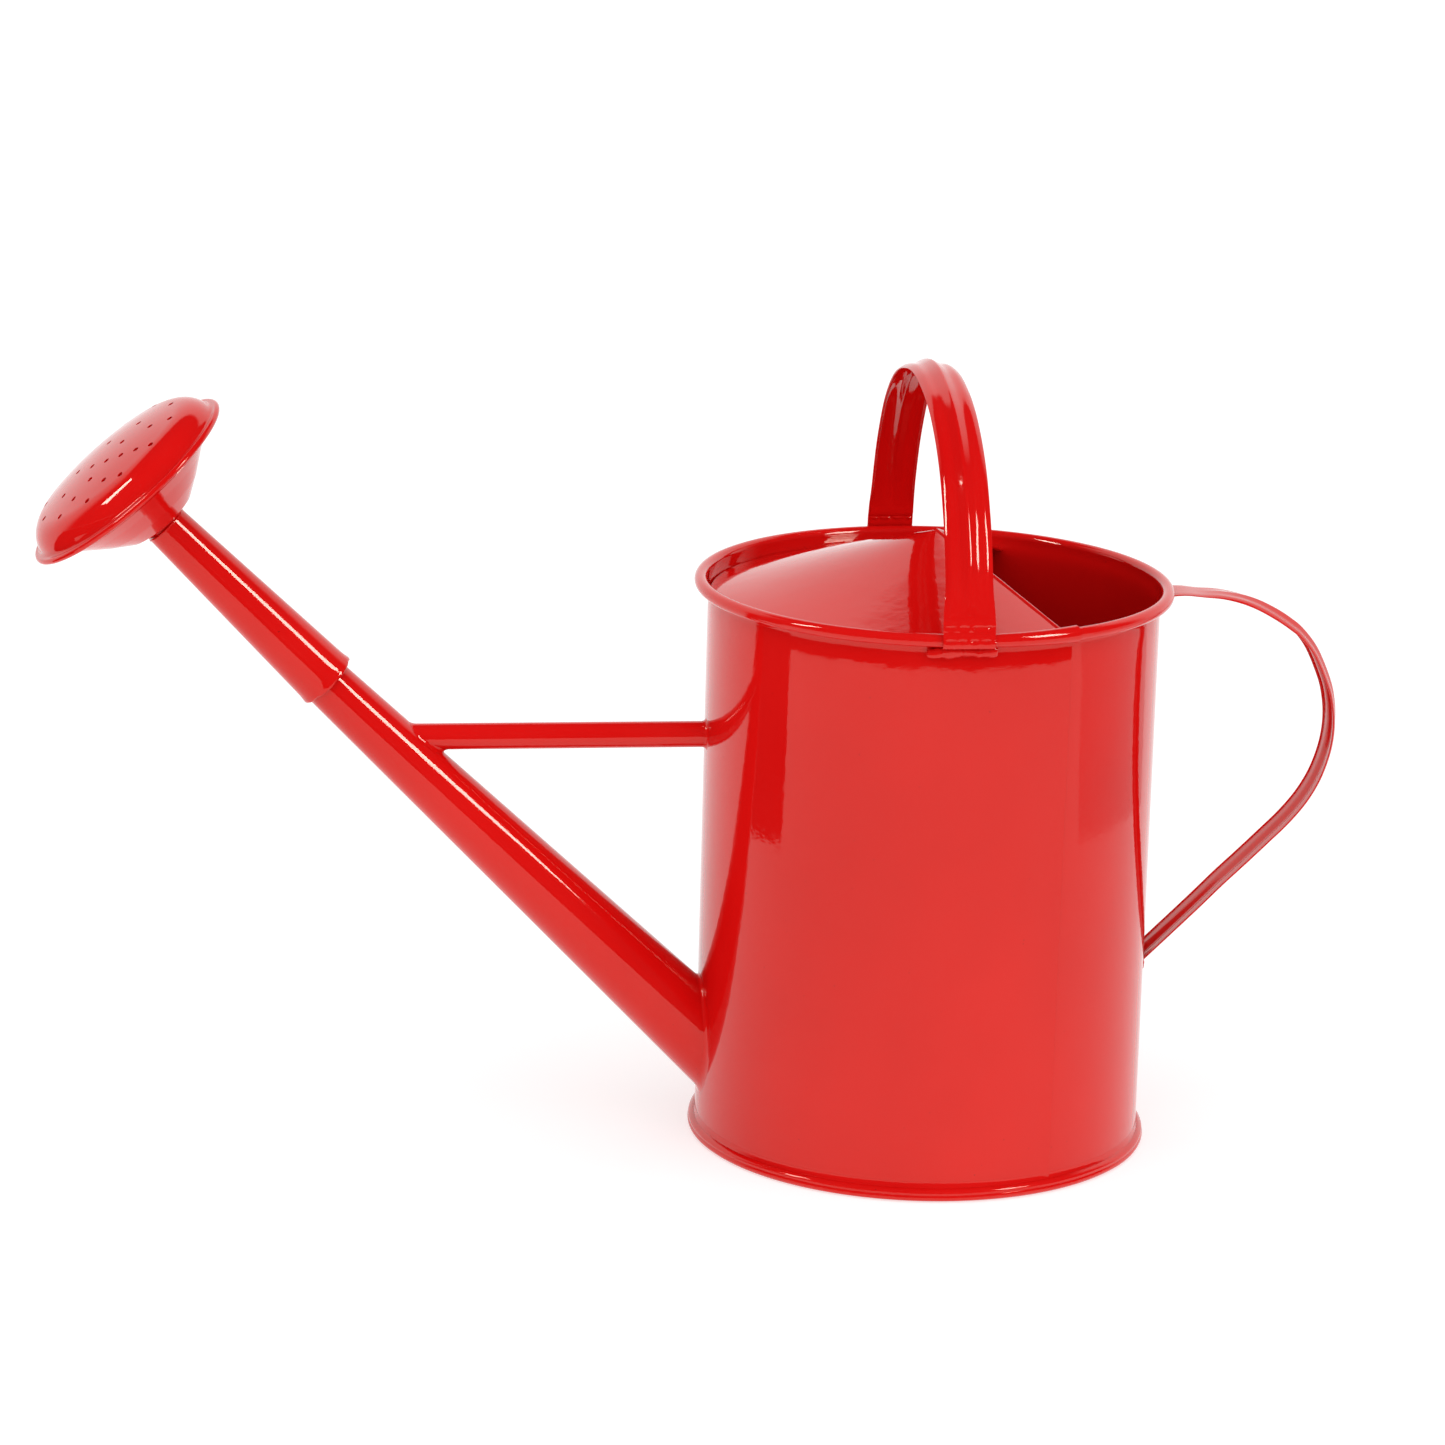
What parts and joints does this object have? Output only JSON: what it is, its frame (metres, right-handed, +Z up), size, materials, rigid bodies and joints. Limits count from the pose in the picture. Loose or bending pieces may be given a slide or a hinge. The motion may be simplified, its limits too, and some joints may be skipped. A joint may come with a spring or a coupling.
{
  "type": "watering can",
  "caption": "Round sheet-metal watering can with a long slanted spout, brace, pull-off sprinkler rose, half-cone splash guard, arched top handle and rear strap handle.",
  "frame": {"origin": "centre of the flat resting land of the base seam, on the plane the can stands on", "axes": "+Z up along the body's axis, -X towards the spout and rose, +X towards the rear handle"},
  "size_m": [0.522, 0.1926, 0.3162],
  "materials": {
    "enamel": "high-gloss red enamel on sheet steel",
    "enamel_solder": "high-gloss red enamel over hand-laid solder",
    "wire_steel": "drawn steel wire, hidden in the rim roll"
  },
  "bodies": {
    "can": {"body_shell": "enamel", "rim_wire": "wire_steel", "base_plate": "enamel", "splash_guard": "enamel", "top_handle": "enamel", "rear_handle": "enamel", "spout_tube": "enamel", "spout_brace": "enamel", "spout_root_weld": "enamel_solder", "brace_body_weld": "enamel_solder", "brace_spout_weld": "enamel_solder", "rear_handle_lower_weld": "enamel_solder", "rear_handle_upper_weld": "enamel_solder", "top_handle_front_weld": "enamel_solder", "top_handle_rear_weld": "enamel_solder"},
    "rose_neck": {"rose_neck_sleeve": "enamel", "rose_neck_weld": "enamel_solder"},
    "rose_head": {"rose_back": "enamel", "rose_face": "enamel"}
  },
  "joints": [
    {"name": "rose_pull_off", "type": "slide", "parent": "can", "child": "rose_neck", "axis": [-0.707, 0, 0.7072], "range_m": [0, 0.065]},
    {"name": "rose_twist", "type": "hinge", "parent": "rose_neck", "child": "rose_head", "pos_m": [-0.30363, 0, 0.25205], "axis": [-0.707, 0, 0.7072], "continuous": true}
  ]
}
